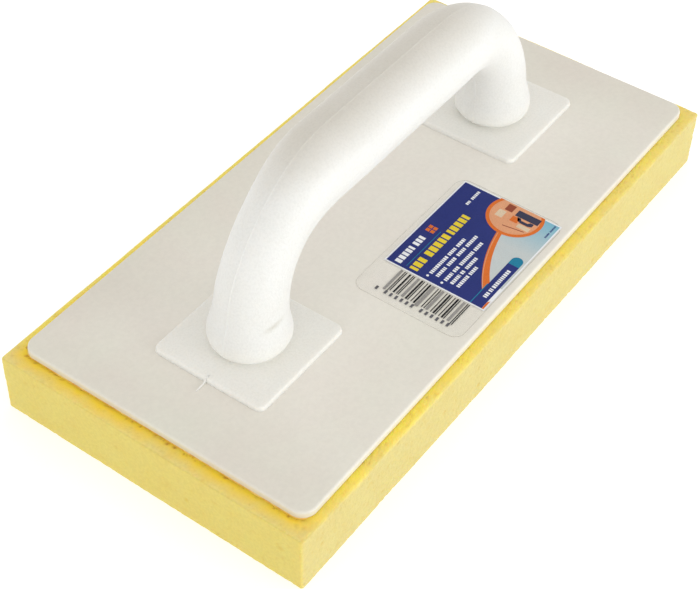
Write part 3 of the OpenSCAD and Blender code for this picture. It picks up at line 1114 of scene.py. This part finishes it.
def label(inks):
    """The printed layer: a blue panel with a round picture, blocks for words, and a column of bars."""
    art = Artwork(inks)
    wide, tall = art.size
    border = 0.65
    art.bar(0, 0, wide, tall, "white", 0)
    upper = curve((39.5, 19.3), (22, 16.4), (8.2, 6.0))
    lower = curve((40.5, 17.2), (25, 14.4), (13.6, 6.0))
    art.shape([(border, border + 6), *upper[::-1], (39.5, tall - 1), (wide - border, tall - 1),
               (wide - border, tall - border), (border, tall - border)], "navy", 1)
    art.bar(39.5, 19.0, wide - border, tall - 1, "navy", 1)
    art.shape([*lower[::-1], (wide - border, 17.2), (wide - border, border), (13.6, border)], "sky", 1)
    art.shape([*upper, *lower[::-1]], "orange", 2)

    tile_picture(art, (51.0, 18.0), 11.8)
    art.bar(border, 1.5, 27.2, 6.4, "navy", 3)
    art.bar(27.2, 1.5, 29.7, 6.4, "teal", 3)
    art.shape(pill_end((29.7, 3.95), 2.45), "teal", 3)
    art.bar(border, 6.4, 13.0, 6.75, "teal", 3)
    art.shape([(border, border), (5.6, border), (4.6, 1.45), (border, 1.45)], "orange", 3)
    above = curve((39.4, 18.8), (22.2, 15.9), (9.6, 6.9))
    art.shape([*above, *curve((10.2, 6.9), (22.4, 15.6), (39.4, 18.5))], "peach", 3)

    art.words(2.0, 39.2, (10.8, 5.6), 3.4, "white", 2, 1.1)
    tile_mark(art, (25.1, 40.4), 3.8)
    art.bar(2.4, 36.55, 26.0, 36.8, "teal", 2)
    art.words(2.2, 31.7, (8.4, 14.0, 13.2), 4.3, "yellow", 2, 1.4)
    art.words(45.4, 36.7, (2.6, 5.7), 1.5, "white", 2, 1.2)
    for y in (27.3, 20.8):
        art.shape(circle((2.9, y), 0.55, 16), "white", 2)
    text = ((27.3, (11.4, 5.0, 5.2)), (24.4, (6.4, 5.8, 5.4, 7.2)), (20.7, (5.0, 3.6, 9.0, 5.6)),
            (17.8, (5.8, 2.4, 7.8)), (15.0, (7.4, 5.4)))
    for y, lengths in text:
        art.words(4.6, y - 1.0, lengths, 1.75, "white", 2)
    art.words(6.2, 2.9, (3.0, 1.6, 12.0), 1.9, "white", 4, 0.8)
    art.words(47.7, 2.0, (3.4, 4.2), 0.9, "navy", 2, 0.6)
    bars(art)
    return art


# ---- stage

CAMERA_TARGET = (-16.15, 1.19, 0.0)
CAMERA_DISTANCE = 659.3
CAMERA_AZIMUTH = math.radians(-55.136)
CAMERA_ELEVATION = math.radians(45.625)
CAMERA_ROLL = math.radians(1.617)
CAMERA_LENS = 84.47
FLOOR_GLOW = 0.55
SKY_COLOUR = (1.0, 0.975, 0.935, 1)
SKY_STRENGTH = 0.87


def camera():
    """The camera: a long lens from the left front, looking down at about 45 degrees."""
    level = math.cos(CAMERA_ELEVATION)
    back = Vector((math.sin(CAMERA_AZIMUTH) * level, -math.cos(CAMERA_AZIMUTH) * level,
                   math.sin(CAMERA_ELEVATION)))
    right = (-back).cross(Vector((0, 0, 1))).normalized()
    up = right.cross(-back)
    turned_right = right * math.cos(CAMERA_ROLL) + up * math.sin(CAMERA_ROLL)
    turned_up = up * math.cos(CAMERA_ROLL) - right * math.sin(CAMERA_ROLL)
    place = (Vector(CAMERA_TARGET) + back * CAMERA_DISTANCE) * MM
    data = bpy.data.cameras.new("camera")
    data.lens = CAMERA_LENS
    data.sensor_width = 36.0
    data.clip_start = 0.01
    made = bpy.data.objects.new("camera", data)
    axes = Matrix((turned_right, turned_up, back)).transposed()
    made.matrix_world = Matrix.Translation(place) @ axes.to_4x4()
    bpy.context.scene.collection.objects.link(made)
    bpy.context.scene.camera = made


def lamp(name, azimuth, elevation, distance, size, power, colour):
    """A soft square lamp that faces the object. Azimuth 0 is on the -Y side and 90 on the +X side."""
    data = bpy.data.lights.new(name, "AREA")
    data.size = size
    data.energy = power
    data.color = colour
    made = bpy.data.objects.new(name, data)
    turn, lift = math.radians(azimuth), math.radians(elevation)
    away = Vector((math.sin(turn) * math.cos(lift), -math.cos(turn) * math.cos(lift), math.sin(lift)))
    made.location = away * distance
    made.rotation_euler = away.to_track_quat("Z", "Y").to_euler()
    bpy.context.scene.collection.objects.link(made)


def studio():
    """A pale floor under even light from all round, with a broad lamp low on the -Y side and a weaker one
    on the -X side."""
    world = bpy.data.worlds.new("studio")
    world.use_nodes = True
    sky = world.node_tree.nodes["Background"]
    sky.inputs["Color"].default_value = SKY_COLOUR
    sky.inputs["Strength"].default_value = SKY_STRENGTH
    bpy.context.scene.world = world
    bpy.context.scene.view_settings.view_transform = "Standard"
    lamp("key", azimuth=5, elevation=9, distance=1.2, size=0.6, power=5.8, colour=(0.99, 1.0, 1.0))
    lamp("fill", azimuth=-95, elevation=11, distance=1.3, size=0.7, power=2.2, colour=(1.0, 0.995, 0.98))
    bpy.ops.mesh.primitive_plane_add(size=40)
    floor = bpy.context.object
    floor.name = "floor"
    floor.data.materials.append(floor_material())


# ---- build

INKS = {"white": (240, 243, 248), "navy": (40, 52, 124), "orange": (226, 116, 46),
        "peach": (230, 166, 126), "sky": (203, 208, 208), "teal": (30, 130, 166),
        "yellow": (238, 214, 60), "brown": (150, 74, 52), "cream": (226, 204, 176),
        "slate": (58, 60, 84), "black": (34, 34, 38), "dim": (104, 104, 110), "grey": (158, 156, 154)}
INK_COVER = {"white": 0.97, "dim": 0.85, "grey": 0.8}
SKY_FAR = (122, 184, 208)


def inks():
    """The label's inks by name."""
    made = {}
    for name, colour in INKS.items():
        if name == "sky":
            made[name] = fading_ink_material(name, colour, SKY_FAR, 18.0, 42.0)
        else:
            made[name] = ink_material(name, colour, INK_COVER.get(name, 0.88))
    return made


def main():
    camera()
    studio()
    sponge(foam_material())
    adhesive(adhesive_material())
    plate(plate_material())
    handle(handle_material())
    screws(steel_material())
    film(film_material(), film_rim_material())
    made = inks()
    art = label(made)
    printed = mesh_piece("label_artwork", art.points, art.faces, list(made.values()),
                         "label_print", smooth=False)
    printed.data.polygons.foreach_set("material_index", art.ink_of)


main()
